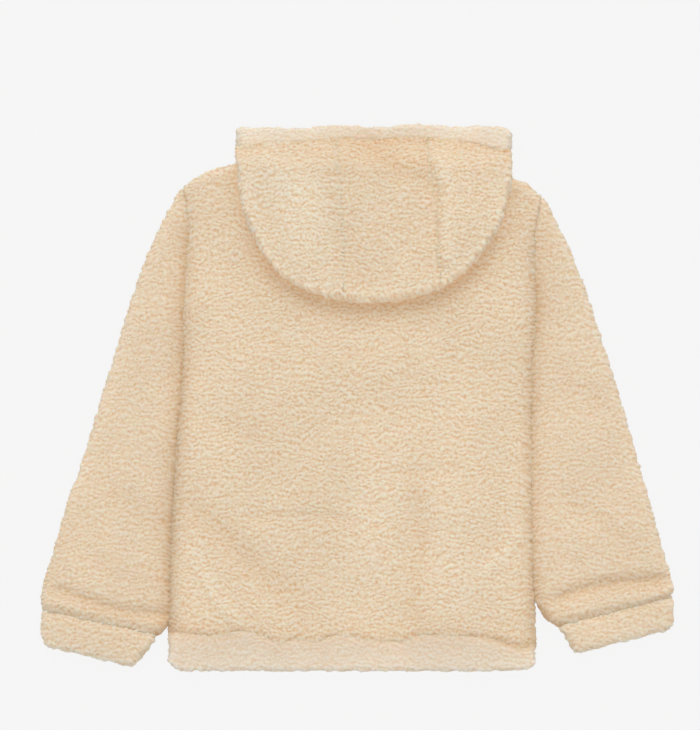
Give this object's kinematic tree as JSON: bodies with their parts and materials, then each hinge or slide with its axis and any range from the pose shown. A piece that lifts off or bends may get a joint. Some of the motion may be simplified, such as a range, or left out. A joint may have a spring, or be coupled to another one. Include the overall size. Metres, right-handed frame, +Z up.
{
  "type": "fleece jacket",
  "caption": "Child's hooded fleece jacket laid flat, back up, with its hood folded down over the back and a closed front zip underneath.",
  "frame": {"origin": "on the surface, under the middle of the laid jacket's bounding box", "axes": "+Z up out of the surface, +Y along the jacket's length towards the hood, +X across it towards the wearer's right sleeve"},
  "size_m": [0.6598, 0.572, 0.0354],
  "materials": {
    "fleece": "matt, curly sherpa pile",
    "fleece_band": "matt sherpa pile, turned at the edge",
    "zip_tape": "matt woven tape with a moulded chain",
    "zip_metal": "satin"
  },
  "bodies": {
    "jacket": {"back": "fleece", "front_left": "fleece", "front_right": "fleece", "sleeve_left": "fleece", "sleeve_right": "fleece", "cuff_left": "fleece_band", "cuff_right": "fleece_band", "hem_band": "fleece_band", "hood_side_left": "fleece", "hood_centre": "fleece", "hood_side_right": "fleece", "hood_band": "fleece_band", "zip_chain": "zip_tape", "zip_slider": "zip_metal"},
    "pull": {"zip_pull": "zip_metal"}
  },
  "joints": [
    {"name": "pull_hinge", "type": "hinge", "parent": "jacket", "child": "pull", "pos_m": [0, 0.202, 0.0019], "axis": [1, 0, 0], "range_deg": [0, 150]}
  ]
}
